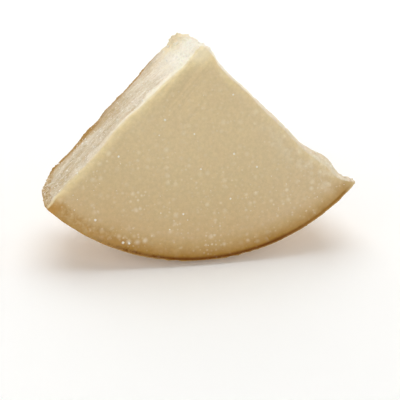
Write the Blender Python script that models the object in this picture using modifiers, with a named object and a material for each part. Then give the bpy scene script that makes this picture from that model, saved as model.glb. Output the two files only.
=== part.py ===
"""A chunk of parmesan: an eighth of a wheel, split off by hand and stood up on its curved rind.

A whole wheel is turned from its profile, sawn flat at mid height, and its half is broken into
quarters with a wedge knife. The chunk shows the smooth sawn face in front, rough broken faces at
both sides with a blunt ridge where they meet, the wheel's flat rind at the back and the curved
rind of its edge below. It leans back until its weight is over the spot of rind it stands on.

The shapes are made in the wheel's own frame: Z is the wheel's axis, with the sawn face at Z = 0
and the rind face at Z = -HALF_HEIGHT, and the middle of the chunk's rind is at -Y. On a broken
face, "along" is the distance from the axis, "depth" is the distance behind the sawn face, and
"proud" is how far a point stands out from the straight split.
"""

import math

import bmesh
import bpy
from mathutils import Matrix, Vector, noise

MM = 0.001

# The wheel
WHEEL_RADIUS = 210 * MM
HALF_HEIGHT = 112 * MM
EDGE_BULGE_RADIUS = 410 * MM
RIND_CORNER_RADIUS = 20 * MM
EDGE_STEPS = 14
CORNER_STEPS = 6
TURN_STEPS = 150

# How the chunk stands
LEAN = math.radians(9.4)
REST_SPOT_DEPTH = 0.6 * MM

# The cutters
CUTTER_MARGIN = 16 * MM
CUTTER_THICKNESS = 1.2 * WHEEL_RADIUS
GRAIN_PITCH = 4.2 * MM

# Relief of a broken face, coarse to fine: (height, length along the split, breadth across it)
FLAKES = (
    (1.9 * MM, 52 * MM, 26 * MM),
    (1.3 * MM, 21 * MM, 11 * MM),
    (0.8 * MM, 9 * MM, 6 * MM),
)
FLAKE_LAYER_OFFSET = 7.3
# Near the sawn face and the rind face the split runs cleaner: this share of the relief is left.
EDGE_RELIEF = 0.35
EDGE_FADE = 14 * MM
EDGE_ROUNDING = 1.6 * MM

# Swells and hollows of the broken faces, as (proud, along, depth, half length, half breadth)
LEFT_SWELLS = (
    (-2.9 * MM, 27 * MM, 0 * MM, 19 * MM, 26 * MM),
    (2.8 * MM, 104 * MM, 0 * MM, 24 * MM, 34 * MM),
    (3.2 * MM, 9 * MM, 112 * MM, 9 * MM, 18 * MM),
    (1.8 * MM, 42 * MM, 112 * MM, 13 * MM, 20 * MM),
    (-2.2 * MM, 124 * MM, 112 * MM, 8 * MM, 26 * MM),
    (-3.0 * MM, 164 * MM, 112 * MM, 22 * MM, 22 * MM),
    (3.8 * MM, 203 * MM, 44 * MM, 9 * MM, 26 * MM),
    (-2.0 * MM, 206 * MM, 0 * MM, 8 * MM, 8 * MM),
    (-3.5 * MM, 207 * MM, 108 * MM, 14 * MM, 20 * MM),
)
RIGHT_SWELLS = (
    (7.0 * MM, 8 * MM, 20 * MM, 18 * MM, 70 * MM),
    (2.8 * MM, 60 * MM, 6 * MM, 36 * MM, 24 * MM),
    (2.6 * MM, 114 * MM, 22 * MM, 12 * MM, 18 * MM),
    (6.8 * MM, 175 * MM, 18 * MM, 18 * MM, 16 * MM),
    (11.0 * MM, 209 * MM, 0 * MM, 11 * MM, 40 * MM),
    (-6.0 * MM, 150 * MM, 80 * MM, 40 * MM, 26 * MM),
)
RIDGE_SWELLS = (
    (1.5 * MM, 4 * MM, 0 * MM, 6 * MM, 16 * MM),
    (-1.6 * MM, 0 * MM, 34 * MM, 30 * MM, 14 * MM),
    (1.2 * MM, -4 * MM, 108 * MM, 8 * MM, 12 * MM),
)

# Each split: its angle from the middle of the rind, where its cutter starts along it, the seed of
# its relief, and its swells. The blunt ridge is a split square to the middle of the rind.
SPLITS = {
    "left_split": (math.radians(-46.2), -CUTTER_MARGIN, 1.7, LEFT_SWELLS),
    "right_split": (math.radians(44.7), -CUTTER_MARGIN, 5.1, RIGHT_SWELLS),
    "ridge_split": (math.radians(90), -WHEEL_RADIUS - CUTTER_MARGIN, 9.4, RIDGE_SWELLS),
}


def clear_scene():
    for old in list(bpy.data.objects):
        bpy.data.objects.remove(old, do_unlink=True)


def new_collection(name):
    collection = bpy.data.collections.new(name)
    bpy.context.scene.collection.children.link(collection)
    return collection


def cheese_material(name, colour, roughness):
    material = bpy.data.materials.new(name)
    material.use_nodes = True
    shader = material.node_tree.nodes["Principled BSDF"]
    shader.inputs["Base Color"].default_value = (*colour, 1.0)
    shader.inputs["Roughness"].default_value = roughness
    shader.inputs["Metallic"].default_value = 0.0
    return material


def edge_radius(depth):
    """The wheel's radius at a depth: its edge bulges most at mid height."""
    return WHEEL_RADIUS - depth**2 / (2 * EDGE_BULGE_RADIUS)


def rind_profile():
    """Half of the wheel's outline, from mid height round the corner to the axis."""
    corner_depth = HALF_HEIGHT - RIND_CORNER_RADIUS
    points = []
    for step in range(EDGE_STEPS):
        depth = corner_depth * step / EDGE_STEPS
        points.append((edge_radius(depth), depth))
    centre = edge_radius(corner_depth) - RIND_CORNER_RADIUS
    slope = math.asin(corner_depth / EDGE_BULGE_RADIUS)
    for step in range(CORNER_STEPS + 1):
        angle = slope + (math.pi / 2 - slope) * step / CORNER_STEPS
        radius = centre + RIND_CORNER_RADIUS * math.cos(angle)
        points.append((radius, corner_depth + RIND_CORNER_RADIUS * math.sin(angle)))
    points.append((0.0, HALF_HEIGHT))
    return points


def whole_wheel(collection, rind):
    """The wheel, turned round Z from its profile, which runs from top to bottom."""
    half = rind_profile()
    profile = [(radius, height) for radius, height in reversed(half)]
    profile += [(radius, -height) for radius, height in half[1:]]
    mesh = bpy.data.meshes.new("parmesan_chunk")
    points = [(radius, 0.0, height) for radius, height in profile]
    lines = [(index, index + 1) for index in range(len(profile) - 1)]
    mesh.from_pydata(points, lines, [])
    mesh.materials.append(rind)
    wheel = bpy.data.objects.new("parmesan_chunk", mesh)
    collection.objects.link(wheel)
    turn = wheel.modifiers.new("turned wheel", "SCREW")
    turn.axis = "Z"
    turn.angle = math.tau
    turn.steps = TURN_STEPS
    turn.render_steps = TURN_STEPS
    turn.use_merge_vertices = True
    turn.merge_threshold = 0.01 * MM
    return wheel


def swell(along, depth, swells):
    """The sum of the swells and hollows at a place on a broken face."""
    total = 0.0
    for proud, at_along, at_depth, half_length, half_breadth in swells:
        reach = ((along - at_along) / half_length) ** 2 + ((depth - at_depth) / half_breadth) ** 2
        total += proud * math.exp(-reach)
    return total


def flakes(along, depth, seed):
    """The crumbly relief that splitting leaves: flakes that run along the split."""
    total = 0.0
    for layer, (height, length, breadth) in enumerate(FLAKES):
        place = Vector((along / length, depth / breadth, seed + FLAKE_LAYER_OFFSET * layer))
        total += height * noise.noise(place, noise_basis="PERLIN_NEW")
    return total


def proud_of_split(along, depth, swells, seed):
    """How far a broken face stands out at a place."""
    from_edge = min(depth, HALF_HEIGHT - depth)
    inside = min(max(from_edge / EDGE_FADE, 0.0), 1.0)
    share = EDGE_RELIEF + (1.0 - EDGE_RELIEF) * inside
    rounding = EDGE_ROUNDING * math.exp(-max(depth, 0.0) / EDGE_ROUNDING)
    return swell(along, depth, swells) + share * flakes(along, depth, seed) - rounding


def split_frame(angle):
    """Axes of a split in the wheel's frame: X along it, Y in depth, Z out of the chunk."""
    side = math.copysign(1.0, angle)
    along = Vector((math.sin(angle), -math.cos(angle), 0.0))
    depth = Vector((0.0, 0.0, -1.0))
    outwards = Vector((side * math.cos(angle), side * math.sin(angle), 0.0))
    return Matrix((along, depth, outwards)).transposed().to_4x4()


def split_block(angle, start, seed, swells):
    """All that lies outside a split, as a thick block whose near side is the broken face."""
    length = WHEEL_RADIUS + CUTTER_MARGIN - start
    breadth = HALF_HEIGHT + 2 * CUTTER_MARGIN
    block = bmesh.new()
    bmesh.ops.create_grid(
        block,
        x_segments=round(length / GRAIN_PITCH),
        y_segments=round(breadth / GRAIN_PITCH),
        size=0.5,
    )
    for vertex in block.verts:
        along = start + (vertex.co.x + 0.5) * length
        depth = (vertex.co.y + 0.5) * breadth - CUTTER_MARGIN
        vertex.co = (along, depth, proud_of_split(along, depth, swells, seed))
    far_side = bmesh.ops.extrude_face_region(block, geom=block.faces[:])
    far_verts = [item for item in far_side["geom"] if isinstance(item, bmesh.types.BMVert)]
    bmesh.ops.translate(block, verts=far_verts, vec=(0.0, 0.0, CUTTER_THICKNESS))
    bmesh.ops.transform(block, matrix=split_frame(angle), verts=block.verts)
    bmesh.ops.recalc_face_normals(block, faces=block.faces)
    return block


def plain_block(size, centre):
    block = bmesh.new()
    bmesh.ops.create_cube(block, size=1.0)
    bmesh.ops.scale(block, vec=size, verts=block.verts)
    bmesh.ops.translate(block, vec=centre, verts=block.verts)
    return block


def saw_block():
    """The other half of the wheel, from the sawn face upwards."""
    across = 2 * (WHEEL_RADIUS + CUTTER_MARGIN)
    thickness = HALF_HEIGHT + CUTTER_MARGIN
    return plain_block((across, across, thickness), (0.0, 0.0, thickness / 2))


def floor_block():
    """What lies under the surface that the chunk stands on, in world coordinates."""
    across = 2 * WHEEL_RADIUS
    return plain_block((across, across, WHEEL_RADIUS), (0.0, 0.0, -WHEEL_RADIUS / 2))


def cut(chunk, name, block, material, collection, parent=None):
    """Cuts a block out of the chunk and gives the new face the block's material."""
    mesh = bpy.data.meshes.new(name)
    block.to_mesh(mesh)
    block.free()
    mesh.materials.append(material)
    cutter = bpy.data.objects.new(name, mesh)
    cutter.parent = parent
    cutter.hide_render = True
    cutter.display_type = "WIRE"
    collection.objects.link(cutter)
    boolean = chunk.modifiers.new(name, "BOOLEAN")
    boolean.operation = "DIFFERENCE"
    boolean.solver = "EXACT"
    boolean.material_mode = "TRANSFER"
    boolean.object = cutter


def leaning_wheel_frame(collection):
    """The wheel's frame in the world: its axis points forwards and, by the lean, upwards.

    The lowest point of the edge comes just under the origin, so that the floor cuts a flat spot.
    """
    frame = bpy.data.objects.new("wheel_frame", None)
    collection.objects.link(frame)
    frame.rotation_euler = (math.pi / 2 - LEAN, 0.0, 0.0)
    lowest_depth = EDGE_BULGE_RADIUS * math.tan(LEAN)
    lowest = Vector((0.0, -edge_radius(lowest_depth), -lowest_depth))
    turned = frame.rotation_euler.to_matrix() @ lowest
    frame.location = Vector((0.0, 0.0, -REST_SPOT_DEPTH)) - turned
    return frame


def main():
    clear_scene()
    parts = new_collection("parmesan_chunk")
    cutters = new_collection("cutters")
    paste = cheese_material("parmesan_paste", (0.60, 0.48, 0.30), 0.62)
    rind = cheese_material("parmesan_rind", (0.42, 0.25, 0.08), 0.50)
    frame = leaning_wheel_frame(parts)
    chunk = whole_wheel(parts, rind)
    chunk.parent = frame
    cut(chunk, "saw", saw_block(), paste, cutters, frame)
    for name, (angle, start, seed, swells) in SPLITS.items():
        block = split_block(angle, start, seed, swells)
        cut(chunk, name, block, paste, cutters, frame)
    cut(chunk, "floor", floor_block(), rind, cutters)


main()
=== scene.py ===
"""Looks for a chunk of aged parmesan, an eighth of a wheel standing on its curved rind.

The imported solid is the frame. Its skin is remeshed and dressed with the relief that sawing and
splitting leave; crystals sit in the sawn face and loose grains on the broken faces. The wheel's
own frame, in which the patterns are laid out, has Z along the wheel's axis, the sawn face at
Z = 0 and the middle of the chunk's rind at -Y.
"""

import math
from types import SimpleNamespace

import bmesh
import bpy
import numpy as np
from bpy.props import FloatProperty, FloatVectorProperty, IntProperty, PointerProperty
from mathutils import Euler, Matrix, Vector
from mathutils.kdtree import KDTree
from mathutils.noise import noise as smooth_noise


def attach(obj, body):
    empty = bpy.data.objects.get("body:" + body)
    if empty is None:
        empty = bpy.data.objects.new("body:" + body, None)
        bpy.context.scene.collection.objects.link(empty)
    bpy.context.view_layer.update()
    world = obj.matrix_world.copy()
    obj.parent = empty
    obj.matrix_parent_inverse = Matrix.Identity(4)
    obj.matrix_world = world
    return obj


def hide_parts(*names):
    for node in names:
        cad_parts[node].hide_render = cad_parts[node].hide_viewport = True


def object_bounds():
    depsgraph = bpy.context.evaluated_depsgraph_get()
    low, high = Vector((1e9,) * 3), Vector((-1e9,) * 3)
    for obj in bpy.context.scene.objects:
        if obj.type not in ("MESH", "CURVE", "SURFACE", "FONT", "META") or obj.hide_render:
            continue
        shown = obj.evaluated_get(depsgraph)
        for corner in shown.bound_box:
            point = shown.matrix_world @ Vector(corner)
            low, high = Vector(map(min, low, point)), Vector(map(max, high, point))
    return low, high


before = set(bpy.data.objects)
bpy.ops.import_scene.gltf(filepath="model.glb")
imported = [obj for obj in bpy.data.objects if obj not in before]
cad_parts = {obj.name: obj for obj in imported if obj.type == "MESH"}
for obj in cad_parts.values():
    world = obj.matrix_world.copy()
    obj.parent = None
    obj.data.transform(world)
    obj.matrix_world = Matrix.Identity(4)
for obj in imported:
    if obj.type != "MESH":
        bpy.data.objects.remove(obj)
CAD_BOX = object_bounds()

bl_info = {
    "name": "Parmesan chunk",
    "version": (1, 0, 0),
    "blender": (4, 5, 0),
    "location": "3D View > Sidebar > Parmesan",
    "description": "Dresses the solid of a parmesan chunk: paste, crystals, loose grains and rind",
    "category": "Object",
}

MM = 0.001
NODE = "parmesan_chunk"
CHEESE = "cheese_body"
BODY = "root"

# Each round of smoothing pulls every point towards its neighbours and pushes it back a little more
PULL_IN = 0.50
PUSH_OUT = -0.52

# The depth below the rind over which the colours of a section are laid out, in millimetres
SECTION_DEPTH = 200

# The crack beside torn paste runs where the field "ragged" has this level. It opens in stretches
# of this length, between these values of their noise.
CRACK_LEVEL = 0.3
CRACK_STRETCH = 24 * MM
CRACK_OPENS = (0.42, 0.56)

# Soft studio lights: name, place in metres, side of the square in metres, power in watts
LIGHTS = (
    ("high_light", (0.00, 0.40, 2.60), 2.5, 39.0),
    ("back_light", (0.00, 2.20, 2.00), 2.0, 14.0),
    ("key_light", (-0.90, -0.90, 1.10), 0.8, 1.5),
    ("side_light", (1.30, 0.20, 0.80), 0.8, 1.5),
)

NOISE = "ShaderNodeTexNoise"
CELLS = "ShaderNodeTexVoronoi"
MATH = "ShaderNodeMath"
VECTOR_MATH = "ShaderNodeVectorMath"
SEPARATE = "ShaderNodeSeparateXYZ"
SET_MATERIAL = "GeometryNodeSetMaterial"


def colour(code):
    """A colour written as #rrggbb in sRGB, as linear red, green and blue, with full alpha."""
    parts = [int(code[place : place + 2], 16) / 255 for place in (1, 3, 5)]
    linear = [c / 12.92 if c <= 0.04045 else ((c + 0.055) / 1.055) ** 2.4 for c in parts]
    return (*linear, 1.0)


def length_property(name, description, default_mm):
    return FloatProperty(name=name, description=description, default=default_mm * MM, unit="LENGTH")


def angle_property(name, description, default_degrees):
    return FloatProperty(
        name=name, description=description, default=math.radians(default_degrees), subtype="ANGLE"
    )


def number_property(name, description, default):
    return FloatProperty(name=name, description=description, default=default)


def colour_property(name, description, code):
    return FloatVectorProperty(
        name=name, description=description, default=colour(code), size=4, subtype="COLOR"
    )


class ParmesanWheel(bpy.types.PropertyGroup):
    """The wheel that the chunk was split from, and how the chunk stands."""

    radius: length_property("Radius", "Radius of the wheel at mid height", 210)
    half_height: length_property("Half height", "From the sawn face to the rind face", 112)
    edge_bulge: length_property("Edge bulge", "Radius of the bulge of the wheel's edge", 410)
    corner: length_property("Rind corner", "Radius where the edge turns into the face", 20)
    rest_spot: length_property("Rest spot", "How much of the bulge is pressed flat", 0.6)
    lean: angle_property("Lean", "How far the chunk leans back on its curved rind", 9.4)


class ParmesanSkin(bpy.types.PropertyGroup):
    """The even mesh that the skin is made of."""

    spacing: length_property("Spacing", "Spacing of the skin's mesh, halved on broken faces", 2.04)
    rounds: IntProperty(name="Rounds", description="Rounds of smoothing", default=12, min=0)


class ParmesanRelief(bpy.types.PropertyGroup):
    """Relief of the skin; each length is an input of the relief's node tree."""

    edge_height: length_property("Edge height", "How much the sawn edge is worn down", 1.3)
    edge_reach: length_property("Edge reach", "How far from the sawn edge the wear begins", 6)
    chip_height: length_property("Chip height", "Depth of the chips at the back edges", 1.2)
    chip_size: length_property("Chip size", "Length of a chip along an edge", 13)
    ledge_height: length_property("Ledge height", "Height of the ledges between flakes", 0.6)
    ledge_length: length_property("Ledge length", "Length of a flake along the split", 16)
    ledge_breadth: length_property("Ledge breadth", "Breadth of a flake across the split", 10)
    streak_height: length_property("Streak height", "Height of the torn streaks", 0.6)
    streak_length: length_property("Streak length", "Length of a torn streak", 7)
    streak_breadth: length_property("Streak breadth", "Breadth of a torn streak", 4)
    grain_height: length_property("Grain height", "Height of the grains of the paste", 0.45)
    grain_size: length_property("Grain size", "Size of the grains of the paste", 2.3)
    torn_height: length_property("Torn height", "Height of the lumps where the paste is torn", 1.9)
    torn_size: length_property("Torn size", "Size of the lumps where the paste is torn", 3.6)
    torn_rise: length_property("Torn rise", "How far the torn paste stands out", -0.3)
    crack_depth: length_property("Crack depth", "Depth of the crack beside torn paste", 1.2)
    rind_height: length_property("Rind height", "Undulation of the rind", 0.3)
    rind_size: length_property("Rind size", "Length of the rind's undulation", 14)
    saw_height: length_property("Saw height", "Waviness of the sawn face", 0.14)
    saw_size: length_property("Saw size", "Length of the sawn face's waves", 22)


class ParmesanScatter(bpy.types.PropertyGroup):
    """Crystals in the sawn face and loose grains on the broken faces."""

    crystal_density: number_property("Crystal density", "Crystals in a square metre", 1600.0)
    crystal_small: length_property("Small crystal", "Radius of the smallest crystals", 0.4)
    crystal_large: length_property("Large crystal", "Radius of the largest crystals", 1.6)
    grain_density: number_property("Grain density", "Loose grains in a square metre", 52000.0)
    grain_small: length_property("Small grain", "Radius of the smallest loose grains", 0.3)
    grain_large: length_property("Large grain", "Radius of the largest loose grains", 1.3)
    seed: IntProperty(name="Seed", description="Seed of everything scattered", default=4)


class ParmesanColours(bpy.types.PropertyGroup):
    """Colours of the paste, the crystals and the rind."""

    heart: colour_property("Heart", "The paste near the wheel's axis", "#e1cda5")
    paste: colour_property("Paste", "The sawn paste", "#d4be94")
    drying: colour_property("Drying paste", "The paste that is drying under the rind", "#d0b588")
    outer: colour_property("Outer paste", "The amber paste next to the rind", "#c2a16b")
    gold: colour_property("Golden rind", "The inner half of the rind's section", "#a87e38")
    dark: colour_property("Dark rind", "The rind's section just below its surface", "#703b00")
    straw: colour_property("Straw rind", "The rind's section where it is thick and pale", "#b18f50")
    amber: colour_property("Amber stain", "Stains where fat has risen in the rind", "#b58b4d")
    # Rim also paints the glow of light through the paste along the sawn face's edges.
    rim: colour_property("Rim", "The dried edge of the sawn face", "#f2dfae")
    rim_pale: colour_property("Pale rim", "Broken paste to the right", "#f6ead0")
    # Lip is also used as a painted highlight along the sawn edge.
    lip: colour_property("Lip", "The lip of the broken face beside the sawn edge", "#fbf1dc")
    spot: colour_property("Spot", "Pale spots in the sawn paste", "#e9dec6")
    broken: colour_property("Broken paste", "The broken paste", "#dfcfb4")
    # The next two also paint shade in the hollows of the broken relief and highlights on its
    # crests.
    broken_low: colour_property("Broken hollows", "The broken paste near the rind", "#bda67e")
    broken_high: colour_property("Broken crests", "Crests of the broken paste", "#fdf6e8")
    # This colour also paints the highlights on the crests of torn lumps.
    crumb: colour_property("Crumb", "Crumbs of the heart at the tip", "#fff8e9")
    rind: colour_property("Rind", "The rind's surface", "#be8e48")
    rind_pale: colour_property("Pale rind", "Dusty, rubbed parts of the rind", "#cda566")
    rind_stain: colour_property("Stained rind", "Dark, oily parts of the rind", "#9a6a30")
    crystal: colour_property("Crystal", "Tyrosine crystals", "#f3ece0")


class ParmesanStage(bpy.types.PropertyGroup):
    """Floor, light and camera."""

    floor_radius: length_property("Floor radius", "Radius of the flat floor", 2800)
    floor_bend: length_property("Floor bend", "Radius of the bend from floor to wall", 1400)
    wall_height: length_property("Wall height", "Height of the pale wall", 3200)
    floor_glow: number_property("Floor glow", "Light that comes through the floor", 0.10)
    wall_glow: number_property("Wall glow", "Light that comes through the wall", 0.37)
    world_glow: number_property("World glow", "Light from all around", 0.07)
    turn: angle_property("Turn", "How far the camera stands to the left of the sawn face", 10.0)
    pitch: angle_property("Pitch", "How steeply the camera looks down", 23.6)
    distance: length_property("Distance", "From the camera to the middle of the chunk", 1419.6)
    lens: number_property("Lens", "Focal length on a 36 mm sensor, in millimetres", 128.43)
    aim_right: length_property("Aim right", "How far right of the middle the camera aims", 7.6)
    aim_up: length_property("Aim up", "How far above the middle the camera aims", -61.9)


class ParmesanSettings(bpy.types.PropertyGroup):
    """Everything that a user would change."""

    wheel: PointerProperty(type=ParmesanWheel)
    skin: PointerProperty(type=ParmesanSkin)
    relief: PointerProperty(type=ParmesanRelief)
    scatter: PointerProperty(type=ParmesanScatter)
    colours: PointerProperty(type=ParmesanColours)
    stage: PointerProperty(type=ParmesanStage)


# The wheel's frame and what lies where on it


def edge_radius(depth, wheel):
    """The wheel's radius at a depth: its edge bulges most at mid height."""
    return wheel.radius - depth**2 / (2 * wheel.edge_bulge)


def wheel_frame(wheel):
    """The wheel's frame in the world: its axis points forwards and, by the lean, upwards."""
    turn = Matrix.Rotation(math.pi / 2 - wheel.lean, 4, "X")
    lowest_depth = wheel.edge_bulge * math.tan(wheel.lean)
    lowest = Vector((0.0, -edge_radius(lowest_depth, wheel), -lowest_depth))
    return Matrix.Translation(Vector((0.0, 0.0, -wheel.rest_spot)) - turn @ lowest) @ turn


def smoothstep(low, high, values):
    """0 below low, 1 above high, and smooth between; low may be the larger."""
    share_reached = np.clip((values - low) / (high - low), 0.0, 1.0)
    return share_reached * share_reached * (3.0 - 2.0 * share_reached)


def wandering(points, size, reach):
    """A smooth random length at each point, up to about that reach, that varies over that size."""
    return reach * np.array([smooth_noise(Vector(point) / size) for point in points])


def depth_below_rind(from_axis, depth, wheel):
    """How far a place lies in from the rind: from its edge, its face or the corner between."""
    corner_depth = wheel.half_height - wheel.corner
    corner_centre = edge_radius(corner_depth, wheel) - wheel.corner
    flat = np.minimum(edge_radius(depth, wheel) - from_axis, wheel.half_height - depth)
    corner = wheel.corner - np.hypot(from_axis - corner_centre, depth - corner_depth)
    in_corner = (from_axis > corner_centre) & (depth > corner_depth)
    return np.where(in_corner, corner, flat)


def surface_fields(points, wheel):
    """For each point of the skin: its place on the wheel and the surfaces that it belongs to.

    The sawn face ends at a depth of about 1 mm, and the rind about as far below its surface.
    "Ragged" tells where the paste is torn: it rises to 1 at the tip, and to 0.7 in a band beside
    the rind that is 9 mm broad at the sawn face and broader behind.
    """
    to_wheel = wheel_frame(wheel).inverted()
    local = points @ np.array(to_wheel.to_3x3()).T + np.array(to_wheel.translation)
    depth = -local[:, 2]
    from_axis = np.hypot(local[:, 0], local[:, 1])
    below_rind = depth_below_rind(from_axis, depth, wheel)
    sawn = smoothstep(1.5 * MM, 0.6 * MM, depth)
    rind = (1.0 - sawn) * smoothstep(1.1 * MM, 0.4 * MM, below_rind)
    broken = (1.0 - sawn) * smoothstep(0.4 * MM, 1.1 * MM, below_rind)
    from_edge = edge_radius(depth, wheel) - from_axis
    side = np.where(local[:, 0] < 0.0, -wheel.radius, wheel.radius)
    wander = wandering(points, 14 * MM, 6 * MM)
    torn_band = 9 * MM + 9 * MM * depth / (2 * wheel.half_height)
    ragged = np.maximum(
        0.7 * smoothstep(torn_band + 2 * MM, torn_band - 4 * MM, from_edge + 0.5 * wander),
        smoothstep(38 * MM, 12 * MM, from_axis + wander),
    )
    return {
        "wheel_place": local,
        "split_place": np.stack([from_axis, depth, side], axis=1),
        "below_rind": below_rind,
        "from_edge": from_edge,
        "depth": depth,
        "from_face": wheel.half_height - depth,
        "ragged": ragged,
        "sawn": sawn,
        "rind": rind,
        "broken": broken,
    }


def distance_to(points, chosen):
    """Each point's distance to the nearest of the chosen points."""
    tree = KDTree(int(chosen.sum()))
    for index, point in enumerate(points[chosen]):
        tree.insert(point, index)
    tree.balance()
    return np.array([tree.find(point)[2] for point in points])


def scatter_fields(fields):
    """Where crystals show in the sawn face, and where loose grains lie on the broken faces."""
    crystals = (
        (fields["sawn"] > 0.9)
        * smoothstep(3 * MM, 10 * MM, fields["from_break"])
        * (0.25 + 0.75 * smoothstep(180 * MM, 20 * MM, fields["below_rind"]))
        * smoothstep(2 * MM, 8 * MM, fields["below_rind"])
    )
    grains = (
        fields["broken"]
        * smoothstep(0.5 * MM, 3 * MM, fields["depth"])
        * smoothstep(3 * MM, 9 * MM, fields["below_rind"])
        * (0.3 + 0.7 * fields["ragged"])
    )
    return {"crystals_here": crystals, "grains_here": grains}


# The skin's mesh


def mesh_points(mesh):
    points = np.empty(len(mesh.vertices) * 3, np.float32)
    mesh.vertices.foreach_get("co", points)
    return points.reshape(-1, 3).astype(float)


def plain_mesh(obj):
    """The object's mesh with its modifiers carried out."""
    graph = bpy.context.evaluated_depsgraph_get()
    return bpy.data.meshes.new_from_object(
        obj.evaluated_get(graph), preserve_all_data_layers=True, depsgraph=graph
    )


def new_object(name, data):
    """An object in the scene that shows a mesh, a light or a camera."""
    obj = bpy.data.objects.new(name, data)
    bpy.context.scene.collection.objects.link(obj)
    return obj


def remeshed_copy(node, spacing):
    """An even mesh of the node's shape; the node itself stays as it is."""
    merged = bmesh.new()
    merged.from_mesh(node.data)
    bmesh.ops.remove_doubles(merged, verts=merged.verts, dist=0.001 * MM)
    mesh = bpy.data.meshes.new("skin")
    merged.to_mesh(mesh)
    merged.free()
    holder = new_object("skin", mesh)
    remesh = holder.modifiers.new("even mesh", "REMESH")
    remesh.mode = "VOXEL"
    remesh.voxel_size = spacing
    even = plain_mesh(holder)
    bpy.data.objects.remove(holder)
    return even


def even_out(mesh, rounds):
    """Smooths the mesh without shrinking it: each round pulls points in, then pushes them out."""
    points = mesh_points(mesh)
    edges = np.empty(len(mesh.edges) * 2, np.int32)
    mesh.edges.foreach_get("vertices", edges)
    first, second = edges.reshape(-1, 2).T
    neighbours = np.bincount(edges, minlength=len(points))[:, None]
    for _ in range(rounds):
        for pull in (PULL_IN, PUSH_OUT):
            total = np.zeros_like(points)
            np.add.at(total, first, points[second])
            np.add.at(total, second, points[first])
            points += pull * (total / neighbours - points)
    mesh.vertices.foreach_set("co", points.ravel())
    mesh.update()


def refine(mesh, chosen):
    """Halves the spacing of the mesh between the chosen points."""
    finer = bmesh.new()
    finer.from_mesh(mesh)
    finer.verts.ensure_lookup_table()
    edges = [edge for edge in finer.edges if all(chosen[vertex.index] for vertex in edge.verts)]
    bmesh.ops.subdivide_edges(finer, edges=edges, cuts=1, use_grid_fill=True)
    finer.to_mesh(mesh)
    finer.free()


def store_fields(mesh, fields):
    """Writes each field on the mesh's points, where node trees and materials read it."""
    for name, values in fields.items():
        kind, slot = ("FLOAT_VECTOR", "vector") if values.ndim == 2 else ("FLOAT", "value")
        attribute = mesh.attributes.new(name, kind, "POINT")
        attribute.data.foreach_set(slot, values.astype(np.float32).ravel())


# Nodes. The helpers find the tree through the node or socket that they are given.


def in_use(sockets, name=None):
    """The first socket in use, or the one in use of that name."""
    return next(socket for socket in sockets if socket.enabled and name in (None, socket.name))


def feed(node, inputs):
    """Feeds a node's inputs, by name or index, from values, sockets or other nodes."""
    for name, value in inputs.items():
        socket = node.inputs[name] if isinstance(name, int) else in_use(node.inputs, name)
        if isinstance(value, bpy.types.Node):
            value = in_use(value.outputs)
        if isinstance(value, bpy.types.NodeSocket):
            node.id_data.links.new(value, socket)
        else:
            socket.default_value = value


def add(tree, kind, inputs=None, **settings):
    """Adds a node, sets it up and feeds its inputs."""
    node = tree.nodes.new(kind)
    for name, value in settings.items():
        setattr(node, name, value)
    feed(node, inputs or {})
    return node


def maths(operation, *values):
    """An operation on values, of which at least one is a node or a socket."""
    tree = next(value.id_data for value in values if isinstance(value, bpy.types.bpy_struct))
    return add(tree, MATH, dict(enumerate(values)), operation=operation)


def times(product, *factors):
    for factor in factors:
        product = maths("MULTIPLY", product, factor)
    return product


def plus(total, *terms):
    for term in terms:
        total = maths("ADD", total, term)
    return total


def share(value, low, high, to_low=0.0, to_high=1.0):
    """Goes smoothly from to_low to to_high as the value goes from low to high."""
    limits = {"Value": value, "From Min": low, "From Max": high,
              "To Min": to_low, "To Max": to_high}
    return add(value.id_data, "ShaderNodeMapRange", limits, interpolation_type="SMOOTHSTEP")


def mix(factor, first, second, kind="RGBA"):
    """The first value where the factor is 0, and the second where it is 1: colours or numbers."""
    return add(factor.id_data, "ShaderNodeMix", {"Factor": factor, "A": first, "B": second},
               data_type=kind)


def noise(place, size, detail=3.0, roughness=0.55):
    return add(place.id_data, NOISE, {"Vector": place, "Scale": 1.0 / size, "Detail": detail,
                                      "Roughness": roughness})


def over_sizes(place, *sizes):
    """A place divided by a pattern's sizes along its three axes, or by its one size."""
    three = sizes if len(sizes) == 3 else sizes * 3
    scale = add(place.id_data, "ShaderNodeCombineXYZ", dict(zip("XYZ", three)))
    return add(place.id_data, VECTOR_MATH, {0: place, 1: scale}, operation="DIVIDE")


# Geometry Nodes


def new_tree(name, inputs):
    """A geometry tree with a geometry input and output and the named inputs."""
    tree = bpy.data.node_groups.new(name, "GeometryNodeTree")
    tree.interface.new_socket("Geometry", in_out="INPUT", socket_type="NodeSocketGeometry")
    tree.interface.new_socket("Geometry", in_out="OUTPUT", socket_type="NodeSocketGeometry")
    kinds = {int: "NodeSocketInt", float: "NodeSocketFloat", str: "NodeSocketString"}
    for label, value in inputs.items():
        kind = kinds.get(type(value), "NodeSocketMaterial")
        tree.interface.new_socket(label, in_out="INPUT", socket_type=kind)
    return tree, tree.nodes.new("NodeGroupInput").outputs


def run_tree(obj, tree, inputs):
    """Runs a geometry tree on an object and leaves its result as the object's plain mesh."""
    modifier = obj.modifiers.new(tree.name, "NODES")
    modifier.node_group = tree
    for item in tree.interface.items_tree:
        if item.in_out == "INPUT" and item.name in inputs:
            modifier[item.identifier] = inputs[item.name]
    mesh = plain_mesh(obj)
    obj.modifiers.remove(modifier)
    obj.data = mesh
    mesh.name = obj.name


def centred(texture, height):
    """A texture's value, from 0 to 1, as a rise or fall of up to that height."""
    return times(maths("SUBTRACT", texture, 0.5), 2.0, height)


def waves(place, size, detail):
    """Noise for relief, of a size that is a value or an input of the tree."""
    return noise(over_sizes(place, size), 1.0, detail, 0.5)


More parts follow.
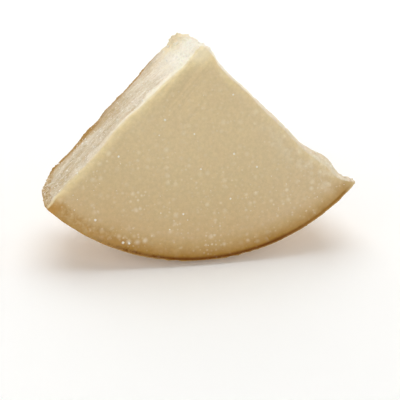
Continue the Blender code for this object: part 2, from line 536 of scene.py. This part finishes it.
def cells(place, scale=1.0):
    """Random cells: the distance to each cell's middle, and a colour of its own."""
    return add(place.id_data, CELLS, {"Vector": place, "Scale": scale}, feature="F1")


def bulges(place, scale, height):
    """Closely packed bulges, highest at the middle of each cell."""
    return centred(maths("SUBTRACT", 1.0, cells(place, scale)), height)


def stored(tree, name, kind="FLOAT"):
    return add(tree, "GeometryNodeInputNamedAttribute", {"Name": name}, data_type=kind)


def relief_fields(tree):
    """The skin's fields and places as the relief reads them."""
    names = ("broken", "depth", "from_break", "from_edge", "from_face", "ragged", "rind", "sawn")
    at = {name: stored(tree, name) for name in names}
    at["split_place"] = stored(tree, "split_place", "FLOAT_VECTOR")
    at["place"] = add(tree, "GeometryNodeInputPosition")
    at["split"] = times(at["broken"], share(at["depth"], 0.5 * MM, 7 * MM))
    return SimpleNamespace(**at)


def flakes(at, given):
    """Flakes that end in ledges, torn streaks from the heart to the rind, and fine grains."""
    ledge_place = over_sizes(at.split_place, given["Ledge Length"], given["Ledge Breadth"], 1.0)
    bend = add(ledge_place.id_data, NOISE, {"Vector": ledge_place, "Scale": 0.7, "Detail": 2.0})
    bent = add(ledge_place.id_data, VECTOR_MATH, {0: ledge_place, 1: bend.outputs["Color"]},
               operation="ADD")
    ledges = centred(cells(bent).outputs["Color"], given["Ledge Height"])
    streak_place = over_sizes(at.split_place, given["Streak Length"], given["Streak Breadth"], 1.0)
    streaks = centred(noise(streak_place, 1.0, 3.0, 0.5), given["Streak Height"])
    grains = bulges(over_sizes(at.place, given["Grain Size"]), 1.0, given["Grain Height"])
    return times(at.split, plus(ledges, streaks, grains))


def torn_lumps(at, given):
    """Lumps and crumbs where the paste is torn: at the tip and beside the rind."""
    soft = centred(waves(at.place, given["Torn Size"], 3.0), given["Torn Height"])
    crumbs = bulges(over_sizes(at.place, given["Torn Size"]), 0.8, given["Torn Height"])
    return times(at.split, at.ragged, plus(soft, crumbs, given["Torn Rise"]))


def crack(at, given):
    """A crack between torn and plain broken paste, open in stretches."""
    beside = maths("ABSOLUTE", maths("SUBTRACT", at.ragged, CRACK_LEVEL))
    opened = share(waves(at.place, CRACK_STRETCH, 1.0), *CRACK_OPENS)
    return times(at.split, share(beside, 0.28, 0.0), opened,
                 share(at.from_edge, 40 * MM, 25 * MM), given["Crack Depth"], -1.0)


def rind_waves(at, given):
    """The rind's undulation, which fades out above the floor that it stands on."""
    above_floor = share(add(at.place.id_data, SEPARATE, {"Vector": at.place}).outputs["Z"],
                        0.2 * MM, 4 * MM)
    return times(at.rind, above_floor,
                 centred(waves(at.place, given["Rind Size"], 4.0), given["Rind Height"]))


def saw_waves(at, given):
    return times(at.sawn, centred(waves(at.place, given["Saw Size"], 2.0), given["Saw Height"]))


def edge_wear(at, given):
    """The sawn edge is rounded off towards the broken faces, and left sharp at the rind."""
    from_cut = mix(at.sawn, at.depth, at.from_break, "FLOAT")
    worn = share(from_cut, given["Edge Reach"], 0.0)
    return times(worn, worn, maths("SUBTRACT", 1.0, at.rind), given["Edge Height"], -1.0)


def chips(at, given):
    """Chips where the broken faces meet the rind face, in stretches longer than a chip."""
    chip_place = over_sizes(at.place, given["Chip Size"])
    at_edge = times(share(at.from_face, 5 * MM, 0.5 * MM), share(at.from_break, 5 * MM, 0.5 * MM))
    return times(share(noise(chip_place, 1.0, 2.0, 0.5), 0.5, 0.64),
                 share(noise(chip_place, 1 / 0.3, 0.0, 0.5), 0.4, 0.56),
                 at_edge, share(at.depth, 4 * MM, 12 * MM), given["Chip Height"], -1.0)


def relief_tree(inputs):
    """Adds the relief of each surface along the normals and keeps it as the field "relief"."""
    tree, given = new_tree("parmesan_relief", inputs)
    at = relief_fields(tree)
    parts = (flakes, torn_lumps, crack, rind_waves, saw_waves, edge_wear, chips)
    height = plus(*[part(at, given) for part in parts])
    kept = add(tree, "GeometryNodeStoreNamedAttribute",
               {"Geometry": given["Geometry"], "Name": "relief", "Value": height},
               data_type="FLOAT", domain="POINT")
    offset = add(tree, VECTOR_MATH, {0: add(tree, "GeometryNodeInputNormal"), "Scale": height},
                 operation="SCALE")
    raised = add(tree, "GeometryNodeSetPosition", {"Geometry": kept, "Offset": offset})
    smooth = add(tree, "GeometryNodeSetShadeSmooth", {"Geometry": raised})
    finished = add(tree, SET_MATERIAL, {"Geometry": smooth, "Material": given["Material"]})
    add(tree, "NodeGroupOutput", {"Geometry": finished})
    return tree


def scatter_tree(name, inputs):
    """Small uneven lumps scattered on the skin where the field named by Where allows them."""
    tree, given = new_tree(name, inputs)
    density = times(stored(tree, given["Where"]), given["Density"])
    points = add(tree, "GeometryNodeDistributePointsOnFaces",
                 {"Mesh": given["Geometry"], "Density": density, "Seed": given["Seed"]},
                 distribute_method="RANDOM")
    draw = add(tree, "FunctionNodeRandomValue", {"Min": 0.0, "Max": 1.0, "Seed": given["Seed"]},
               data_type="FLOAT")
    mostly_small = maths("POWER", draw, 3.0)
    size = add(tree, "ShaderNodeMapRange",
               {"Value": mostly_small, "To Min": given["Smallest"], "To Max": given["Largest"]})
    height = times(size, given["Flatness"])
    scale = add(tree, "ShaderNodeCombineXYZ", {"X": size, "Y": size, "Z": height})
    lump = add(tree, "GeometryNodeMeshIcoSphere", {"Radius": 1.0, "Subdivisions": 1})
    placed = add(tree, "GeometryNodeInstanceOnPoints",
                 {"Points": points, "Instance": lump, "Scale": scale,
                  "Rotation": points.outputs["Rotation"]})
    real = add(tree, "GeometryNodeRealizeInstances", {"Geometry": placed})
    wobble = add(tree, NOISE, {"Scale": maths("DIVIDE", 1.5, given["Largest"]), "Detail": 1.0})
    shift = add(tree, VECTOR_MATH, {0: wobble.outputs["Color"], 1: (0.5, 0.5, 0.5)},
                operation="SUBTRACT")
    uneven = add(tree, VECTOR_MATH, {0: shift, "Scale": given["Smallest"]}, operation="SCALE")
    shaped = add(tree, "GeometryNodeSetPosition", {"Geometry": real, "Offset": uneven})
    finished = add(tree, SET_MATERIAL, {"Geometry": shaped, "Material": given["Material"]})
    add(tree, "NodeGroupOutput", {"Geometry": finished})
    return tree


# Materials


def new_material(name, shader_values):
    """A material with its Principled shader set to values that are the same all over."""
    material = bpy.data.materials.new(name)
    material.use_nodes = True
    shader = material.node_tree.nodes["Principled BSDF"]
    feed(shader, shader_values)
    return material, material.node_tree, shader


def object_place(tree):
    return add(tree, "ShaderNodeTexCoord").outputs["Object"]


def look_fields(tree):
    """The skin's fields and places as the material reads them."""

    def read(name, output):
        return add(tree, "ShaderNodeAttribute", attribute_name=name).outputs[output]

    names = ("below_rind", "broken", "depth", "from_break", "from_edge", "from_face", "ragged",
             "relief", "rind")
    at = {name: read(name, "Fac") for name in names}
    at["place"] = object_place(tree)
    at["wheel_place"] = read("wheel_place", "Vector")
    at["split_place"] = read("split_place", "Vector")
    at["across"] = add(tree, SEPARATE, {"Vector": at["wheel_place"]}).outputs["X"]
    at["from_axis"] = add(tree, SEPARATE, {"Vector": at["split_place"]}).outputs["X"]
    return SimpleNamespace(**at)


def turned(place, angle):
    """A place as a pattern sees it that is turned by the angle in the plane of the sawn face."""
    return add(place.id_data, "ShaderNodeMapping",
               {"Vector": place, "Rotation": (0.0, 0.0, angle)}, vector_type="TEXTURE")


def tinted(base, *tones):
    """A colour under tones that each follow a value, from where they start to full strength."""
    for value, start, full, strength, tone in tones:
        base = mix(share(value, start, full, 0.0, strength), base, tone)
    return base


def speckle(wheel_place, cell, smallest, largest, rarity):
    """Soft round spots in the plane of the sawn face, each of its own size and strength."""
    spots = add(wheel_place.id_data, CELLS, {"Vector": wheel_place, "Scale": 1.0 / cell},
                voronoi_dimensions="2D")
    draw = add(wheel_place.id_data, "ShaderNodeSeparateColor", {"Color": spots.outputs["Color"]})
    size = share(draw.outputs["Red"], 0.0, 1.0, smallest / cell, largest / cell)
    inside = share(spots.outputs["Distance"], size, 0.0)
    return times(inside, maths("POWER", draw.outputs["Green"], rarity))


def section(reached, *stops):
    """The colours of a section, each after its depth in millimetres, from shallow to deep."""
    share_reached = maths("SQRT", maths("DIVIDE", reached, SECTION_DEPTH * MM))
    ramp = add(reached.id_data, "ShaderNodeValToRGB", {"Fac": share_reached})
    elements = ramp.color_ramp.elements
    first, *between, last = [math.sqrt(reach / SECTION_DEPTH) for reach, _ in stops]
    elements[0].position = first
    elements[1].position = last
    for place in between:
        elements.new(place)
    for element, (_, stop_colour) in zip(elements, stops):
        element.color = stop_colour
    return ramp.outputs["Color"]


def paste_section(at, colours):
    """From the rind to the heart: a thin pale skin, a brown line, then gold, amber and paste.

    To the left the rind's section is straw-coloured and blurred, and stained by its fat. To the
    right it is a narrow golden line. At the bottom the brown line is darkest: partly painted shade.
    """
    wander = times(maths("SUBTRACT", noise(at.place, 9 * MM), 0.5), 8 * MM)
    reached = plus(at.below_rind, times(wander, share(at.below_rind, 3 * MM, 9 * MM)))
    # The middle section is the bottom: its dark line is partly the rind's colour, partly painted
    # shade.
    middle = section(reached, (0.9, colours.straw), (2.0, colours.dark), (3.4, colours.dark),
                     (5.6, colours.gold), (14, colours.outer), (26, colours.drying),
                     (70, colours.paste), (195, colours.heart))
    left = section(reached, (1.0, colours.straw), (4.0, colours.outer), (15, colours.drying),
                   (60, colours.paste), (195, colours.heart))
    right = section(reached, (1.2, colours.straw), (2.8, colours.gold), (3.6, colours.gold),
                    (5.2, colours.outer), (15, colours.drying), (60, colours.paste),
                    (195, colours.heart))
    paste = tinted(middle, (at.across, -75 * MM, -120 * MM, 0.95, left),
                   (at.across, 70 * MM, 125 * MM, 0.6, right))
    stains = times(share(noise(at.place, 6 * MM, 6.0, 0.75), 0.34, 0.62),
                   share(reached, 20 * MM, 9 * MM),
                   share(at.across, -20 * MM, -100 * MM, 0.1, 0.8))
    corner = times(share(at.from_break, 16 * MM, 5 * MM),
                   share(reached, 24 * MM, 9 * MM, 0.0, 0.75),
                   share(at.across, -80 * MM, -110 * MM))
    return mix(corner, mix(stains, paste, colours.amber), colours.rind)


def sawn_paste(at, colours):
    """Soft pale spots, small sharp ones, and a paler edge, where a glow of light is painted."""
    crowded = times(share(noise(at.place, 22 * MM, 2.0), 0.42, 0.6, 0.3, 1.0),
                    share(at.below_rind, 170 * MM, 30 * MM, 0.4, 1.0),
                    share(at.below_rind, 4 * MM, 14 * MM, 0.15, 1.0))
    spots = times(speckle(at.wheel_place, 8 * MM, 1.6 * MM, 4.2 * MM, 1.8), crowded, 0.8)
    flecks = times(speckle(at.wheel_place, 4.5 * MM, 0.6 * MM, 1.8 * MM, 2.2), crowded, 0.8)
    paste = mix(spots, paste_section(at, colours), colours.spot)
    paste = mix(flecks, paste, colours.spot)
    clouds = times(share(noise(at.place, 9 * MM, 4.0), 0.45, 0.68),
                   share(at.from_break, 26 * MM, 4 * MM),
                   share(at.across, 40 * MM, 110 * MM, 0.1, 0.6))
    paler = plus(clouds, share(at.across, 20 * MM, 110 * MM, 0.0, 0.16))
    paste = mix(times(paler, share(at.below_rind, 7 * MM, 24 * MM)), paste, colours.spot)
    # Painted glow: near the broken faces the sawn paste is painted paler, as if lit through the
    # edge.
    glow = times(maths("POWER", share(at.from_break, 15 * MM, 0.0), 2.6),
                 share(at.below_rind, 4 * MM, 22 * MM, 0.0, 0.75),
                 share(at.across, 20 * MM, 60 * MM, 1.0, 0.5))
    return tinted(
        mix(glow, paste, colours.rim),
        (at.from_axis, 28 * MM, 6 * MM, 0.9, colours.rim),
        (at.from_axis, 20 * MM, 8 * MM, 0.45, colours.lip),
        (at.across, 140 * MM, 153 * MM, 0.55, colours.rim),
    )


def split_paste(at, colours):
    """Dull, granular paste: clouded, streaked from heart to rind, and whiter at the heart."""
    clouded = noise(over_sizes(at.split_place, 40 * MM, 22 * MM, 1.0), 1.0)
    fibres = noise(over_sizes(at.split_place, 26 * MM, 4 * MM, 1.0), 1.0)
    lumps = noise(at.place, 5 * MM, 4.0, 0.65)
    grains = noise(at.place, 1.8 * MM, 2.0)
    return tinted(
        mix(share(at.from_edge, 190 * MM, 50 * MM), colours.broken, colours.broken_low),
        (clouded, 0.38, 0.66, 0.36, colours.broken_high),
        # Painted shade and highlight: the relief's hollows are painted darker and its crests paler.
        (at.relief, -0.1 * MM, -1.2 * MM, 0.45, colours.broken_low),
        (at.relief, 0.1 * MM, 1.1 * MM, 0.5, colours.broken_high),
        (lumps, 0.5, 0.34, 0.4, colours.drying),
        (lumps, 0.52, 0.7, 0.5, colours.broken_high),
        (grains, 0.5, 0.72, 0.36, colours.broken_high),
        (fibres, 0.5, 0.66, 0.45, colours.drying),
        (fibres, 0.5, 0.36, 0.2, colours.broken_high),
        # Whiter towards the tip: partly the heart's paler paste, partly painted light on the
        # upturned ridge.
        (at.from_edge, 150 * MM, 195 * MM, 0.8, colours.broken_high),
        (at.across, 0.0, 40 * MM, 0.55, colours.rim_pale),
    )


def torn_paste(at, colours, broken, pits):
    """The torn end of the rind and the tip: pale lumps with amber pits, beyond a crack."""
    at_rind = times(share(at.from_edge, 20 * MM, 12 * MM),
                    share(at.across, 0.0, 40 * MM, 1.0, 0.45))
    pale = mix(times(at_rind, 0.9), colours.crumb, colours.drying)
    pitted = mix(times(pits, share(at_rind, 0.0, 1.0, 0.1, 1.0)), pale, colours.gold)
    # Painted highlight: crests of the torn lumps are painted near white.
    pitted = tinted(pitted, (at.relief, 0.1 * MM, 1.1 * MM, 0.7, colours.crumb))
    broken = tinted(broken, (at.ragged, 0.0, 0.9, 0.95, pitted))
    golden = times(share(at.from_face, 75 * MM, 15 * MM, 0.0, 0.6),
                   share(at.from_axis, 38 * MM, 14 * MM))
    # Painted shade: the crack's open stretches are painted golden brown.
    beside = maths("ABSOLUTE", maths("SUBTRACT", at.ragged, CRACK_LEVEL))
    opened = share(noise(at.place, CRACK_STRETCH, 1.0), *CRACK_OPENS)
    cracked = times(share(beside, 0.3, 0.0, 0.0, 0.5), opened,
                    share(at.from_edge, 40 * MM, 20 * MM))
    return mix(cracked, mix(golden, broken, colours.rim), colours.gold)


def broken_paste(at, colours):
    """Split and torn paste, a creamy lip beside the sawn edge and a brown line at the rind face."""
    pits = share(noise(at.place, 3.2 * MM), 0.56, 0.38)
    broken = torn_paste(at, colours, split_paste(at, colours), pits)
    # Partly painted highlight: a creamy strip of the broken face along the sawn edge, partly paler
    # paste and partly the light that the rounded edge catches.
    lip_depth = times(plus(at.depth, times(noise(at.place, 9 * MM), 7 * MM)),
                      share(at.from_edge, 45 * MM, 8 * MM, 1.0, 2.2))
    lip = times(share(lip_depth, 21 * MM, 11 * MM),
                share(at.from_edge, 40 * MM, 170 * MM, 0.35, 1.0),
                share(at.across, 20 * MM, 0.0, 0.3, 1.0))
    # Partly painted highlight too: a pale line along the left sawn edge.
    left_lip = times(share(at.depth, 5 * MM, 2 * MM, 0.0, 0.7), share(at.across, 20 * MM, 0.0))
    broken = mix(left_lip, mix(lip, broken, colours.lip), colours.rim)
    face_section = section(at.from_face, (0.5, colours.dark), (3, colours.gold),
                           (11, colours.gold), (22, colours.outer), (42, colours.drying),
                           (195, colours.heart))
    at_face = times(share(at.from_face, 52 * MM, 6 * MM),
                    share(at.from_edge, 125 * MM, 55 * MM, 0.12, 1.0))
    back_line = times(share(at.from_face, 11 * MM, 5 * MM),
                      share(at.from_axis, 25 * MM, 50 * MM, 0.2, 0.9))
    broken = mix(maths("MAXIMUM", at_face, back_line), broken, face_section)
    edge_section = mix(pits, colours.drying, colours.outer)
    return tinted(broken, (at.from_edge, 4 * MM, 1 * MM, 0.7, edge_section))


def rind_surface(at, colours, cut):
    """Golden, oiled rind: clouded, pitted, faintly lined by the boards that it aged on.

    Where it is worn at a cut it has the colour of the cut.
    """
    boards = over_sizes(turned(at.wheel_place, math.radians(9)), 300 * MM, 7 * MM, 40 * MM)
    rind = tinted(
        mix(share(noise(at.place, 38 * MM, 4.0), 0.3, 0.7), colours.rind, colours.rind_pale),
        (noise(at.place, 17 * MM, 6.0, 0.7), 0.46, 0.72, 0.5, colours.rind_stain),
        (noise(at.place, 1.7 * MM, 2.0), 0.60, 0.70, 0.55, colours.rind_stain),
        (noise(boards, 1.0), 0.44, 0.66, 0.3, colours.rind_pale),
    )
    return mix(share(maths("MINIMUM", at.from_break, at.depth), 5 * MM, 1.5 * MM), rind, cut)


def mottling(at):
    """Brightness: fine mottling, and faint marks of the wire along the left edge of the heart."""
    along_wire = over_sizes(turned(at.wheel_place, math.radians(47)), 90 * MM, 5 * MM, 1.0)
    drag = times(share(noise(along_wire, 1.0, 1.0), 0.4, 0.6, -0.05, 0.05),
                 share(at.from_axis, 95 * MM, 30 * MM),
                 share(at.across, 25 * MM, -20 * MM))
    return plus(share(noise(at.place, 3.5 * MM, 4.0, 0.65), 0.3, 0.7, -0.045, 0.045),
                share(noise(at.place, 1.3 * MM, 2.0), 0.3, 0.7, 0.986, 1.014), drag)


def cheese_material(colours):
    """Aged hard cheese: a fatty, granular, slightly translucent paste under an oiled rind.

    Sawing leaves the paste satin and smooth, splitting leaves it matt and pale, and towards the
    rind it dries to gold and brown. Light enters the paste by a millimetre or two, more in red.
    """
    material, tree, shader = new_material(
        "aged_paste_and_oiled_rind",
        {
            "IOR": 1.45,
            "Subsurface Radius": (1.0, 0.65, 0.35),
            "Subsurface Scale": 1.2 * MM,
        },
    )
    at = look_fields(tree)
    cut = mix(at.broken, sawn_paste(at, colours), broken_paste(at, colours))
    surface = mix(at.rind, cut, rind_surface(at, colours, cut))
    rough_paste = share(noise(at.place, 4 * MM), 0.3, 0.7, 0.42, 0.55)
    grain = times(noise(at.place, 1.1 * MM, 4.0, 0.6), mix(at.broken, 0.12, 0.8, "FLOAT"))
    feed(shader, {
        "Base Color": add(tree, "ShaderNodeHueSaturation",
                          {"Color": surface, "Value": mottling(at)}),
        "Roughness": mix(at.broken, rough_paste, 0.72, "FLOAT"),
        "Subsurface Weight": share(at.below_rind, 3 * MM, 12 * MM, 0.03, 0.25),
        "Specular IOR Level": share(at.below_rind, 0.5 * MM, 8 * MM, 0.08, 0.2),
        "Normal": add(tree, "ShaderNodeBump", {"Height": grain, "Distance": 0.5 * MM}),
    })
    return material


def crystal_material(name, crystal, roughness):
    """Small pale crystals or crumbs, a little see-through; tyrosine glints less than salt does."""
    material, tree, shader = new_material(
        name,
        {
            "Roughness": roughness,
            "IOR": 1.5,
            "Subsurface Weight": 0.3,
            "Subsurface Radius": (1.0, 0.8, 0.6),
            "Subsurface Scale": 0.8 * MM,
        },
    )
    cloud = noise(object_place(tree), 1.2 * MM, 2.0, 0.5)
    darker = (*[0.86 * part for part in crystal[:3]], 1.0)
    feed(shader, {"Base Color": mix(cloud, darker, crystal[:])})
    return material


def floor_material(stage):
    """Matt opal acrylic: near white, faintly cloudy, and lit from behind, most where it rises."""
    material, tree, shader = new_material(
        "matt_opal_acrylic", {"Roughness": 0.9, "Emission Color": colour("#fffefc")}
    )
    place = object_place(tree)
    cloud = add(tree, NOISE, {"Vector": place, "Scale": 3.0, "Detail": 2.0})
    from_middle = add(tree, VECTOR_MATH, {0: place}, operation="LENGTH").outputs["Value"]
    glow = share(from_middle, 0.25 * stage.floor_radius, stage.floor_radius + stage.floor_bend,
                 stage.floor_glow, stage.wall_glow)
    feed(shader, {"Base Color": mix(cloud, colour("#f7f7f6"), colour("#fafaf9")),
                  "Emission Strength": glow})
    return material


# Operators


def tree_inputs(group):
    """A group's values under their names in a node tree: edge_height as Edge Height."""
    return {name.replace("_", " ").title(): getattr(group, name) for name in group.__annotations__}


def join_part(obj):
    """Rides the piece on the part's one body."""
    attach(obj, BODY)


class PARMESAN_OT_skin(bpy.types.Operator):
    """Remesh the solid's skin and give it its relief, its paste and its rind"""

    bl_idname = "parmesan.skin"
    bl_label = "Dress the chunk"

    def execute(self, context):
        settings = context.scene.parmesan
        mesh = remeshed_copy(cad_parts[NODE], settings.skin.spacing)
        even_out(mesh, settings.skin.rounds)
        refine(mesh, surface_fields(mesh_points(mesh), settings.wheel)["broken"] > 0.0)
        points = mesh_points(mesh)
        fields = surface_fields(points, settings.wheel)
        fields["from_break"] = distance_to(points, fields["broken"] > 0.5)
        store_fields(mesh, {**fields, **scatter_fields(fields)})
        chunk = new_object(CHEESE, mesh)
        inputs = {**tree_inputs(settings.relief), "Material": cheese_material(settings.colours)}
        run_tree(chunk, relief_tree(inputs), inputs)
        join_part(chunk)
        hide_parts(NODE)
        return {"FINISHED"}


def scatter_on_skin(piece, tree_name, inputs):
    """Scatters lumps on the dressed skin and keeps them as a piece of their own."""
    lumps = new_object(piece, bpy.data.objects[CHEESE].data.copy())
    run_tree(lumps, scatter_tree(tree_name, inputs), inputs)
    join_part(lumps)


class PARMESAN_OT_crystals(bpy.types.Operator):
    """Set white crystals in the sawn face"""

    bl_idname = "parmesan.crystals"
    bl_label = "Set the crystals"

    def execute(self, context):
        settings = context.scene.parmesan
        scatter_on_skin("paste_crystals", "parmesan_crystals", {
            "Where": "crystals_here",
            "Density": settings.scatter.crystal_density,
            "Smallest": settings.scatter.crystal_small,
            "Largest": settings.scatter.crystal_large,
            "Flatness": 0.35,
            "Seed": settings.scatter.seed,
            "Material": crystal_material("tyrosine_crystal", settings.colours.crystal, 0.35),
        })
        return {"FINISHED"}


class PARMESAN_OT_grains(bpy.types.Operator):
    """Leave loose grains on the broken faces"""

    bl_idname = "parmesan.grains"
    bl_label = "Leave the loose grains"

    def execute(self, context):
        settings = context.scene.parmesan
        scatter_on_skin("loose_grains", "parmesan_grains", {
            "Where": "grains_here",
            "Density": settings.scatter.grain_density,
            "Smallest": settings.scatter.grain_small,
            "Largest": settings.scatter.grain_large,
            "Flatness": 0.6,
            "Seed": settings.scatter.seed + 1,
            "Material": crystal_material("crumbled_paste", settings.colours.broken_high, 0.7),
        })
        return {"FINISHED"}


def studio_floor(stage):
    """A flat floor that bends up into a wall all round."""
    radius, bend = stage.floor_radius, stage.floor_bend
    arc = [math.radians(angle) for angle in range(0, 91, 10)]
    profile = [(0.0, 0.0)]
    profile += [(radius + bend * math.sin(a), bend - bend * math.cos(a)) for a in arc]
    profile += [(radius + bend, stage.wall_height)]
    sweep = bmesh.new()
    rim = [sweep.verts.new((x, 0.0, z)) for x, z in profile]
    edges = [sweep.edges.new(pair) for pair in zip(rim, rim[1:])]
    bmesh.ops.spin(sweep, geom=rim + edges, axis=(0, 0, 1), cent=(0, 0, 0), angle=math.tau,
                   steps=64, use_merge=True)
    bmesh.ops.remove_doubles(sweep, verts=sweep.verts, dist=0.1 * MM)
    bmesh.ops.recalc_face_normals(sweep, faces=sweep.faces)
    floor = new_object("studio_floor", bpy.data.meshes.new("studio_floor"))
    sweep.to_mesh(floor.data)
    sweep.free()
    floor.data.shade_smooth()
    floor.data.materials.append(floor_material(stage))


def soft_light(name, place, side, power, aim):
    """A square studio light at a place, turned to the aim."""
    light = bpy.data.lights.new(name, "AREA")
    light.shape = "SQUARE"
    light.size = side
    light.energy = power
    lamp = new_object(name, light)
    lamp.location = place
    lamp.rotation_euler = (aim - lamp.location).to_track_quat("-Z", "Y").to_euler()


def pale_world(glow):
    world = bpy.data.worlds.new("pale_studio")
    world.use_nodes = True
    feed(world.node_tree.nodes["Background"], {"Color": colour("#fbfaf8"), "Strength": glow})
    return world


def aimed_camera(stage, middle):
    """A camera that looks down on the sawn face from its left."""
    camera = bpy.data.cameras.new("camera")
    camera.lens = stage.lens
    camera.sensor_width = 36.0
    view = new_object("camera", camera)
    view.rotation_euler = Euler((math.pi / 2 - stage.pitch, 0.0, -stage.turn))
    offset = Vector((stage.aim_right, stage.aim_up, stage.distance))
    view.location = middle + view.rotation_euler.to_matrix() @ offset
    return view


class PARMESAN_OT_stage(bpy.types.Operator):
    """Lay the pale floor, hang the soft lights and place the camera"""

    bl_idname = "parmesan.stage"
    bl_label = "Set the stage"

    def execute(self, context):
        scene = context.scene
        stage = scene.parmesan.stage
        middle = (Vector(CAD_BOX[0]) + Vector(CAD_BOX[1])) / 2
        studio_floor(stage)
        for light in LIGHTS:
            soft_light(*light, middle)
        scene.world = pale_world(stage.world_glow)
        scene.camera = aimed_camera(stage, middle)
        scene.view_settings.view_transform = "Standard"
        return {"FINISHED"}


class PARMESAN_PT_sidebar(bpy.types.Panel):
    """The steps in order, and the settings that each reads"""

    bl_idname = "PARMESAN_PT_sidebar"
    bl_label = "Parmesan chunk"
    bl_space_type = "VIEW_3D"
    bl_region_type = "UI"
    bl_category = "Parmesan"

    def draw(self, context):
        settings = context.scene.parmesan
        for operator in (PARMESAN_OT_skin, PARMESAN_OT_crystals, PARMESAN_OT_grains,
                         PARMESAN_OT_stage):
            self.layout.operator(operator.bl_idname)
        for name in settings.__annotations__:
            group = getattr(settings, name)
            box = self.layout.box()
            for setting in group.__annotations__:
                box.prop(group, setting)


CLASSES = (
    ParmesanWheel,
    ParmesanSkin,
    ParmesanRelief,
    ParmesanScatter,
    ParmesanColours,
    ParmesanStage,
    ParmesanSettings,
    PARMESAN_OT_skin,
    PARMESAN_OT_crystals,
    PARMESAN_OT_grains,
    PARMESAN_OT_stage,
    PARMESAN_PT_sidebar,
)


def register():
    for cls in CLASSES:
        bpy.utils.register_class(cls)
    bpy.types.Scene.parmesan = PointerProperty(type=ParmesanSettings)


def unregister():
    del bpy.types.Scene.parmesan
    for cls in reversed(CLASSES):
        bpy.utils.unregister_class(cls)


def main():
    register()
    bpy.ops.parmesan.skin()
    bpy.ops.parmesan.crystals()
    bpy.ops.parmesan.grains()
    bpy.ops.parmesan.stage()


if __name__ == "__main__":
    main()
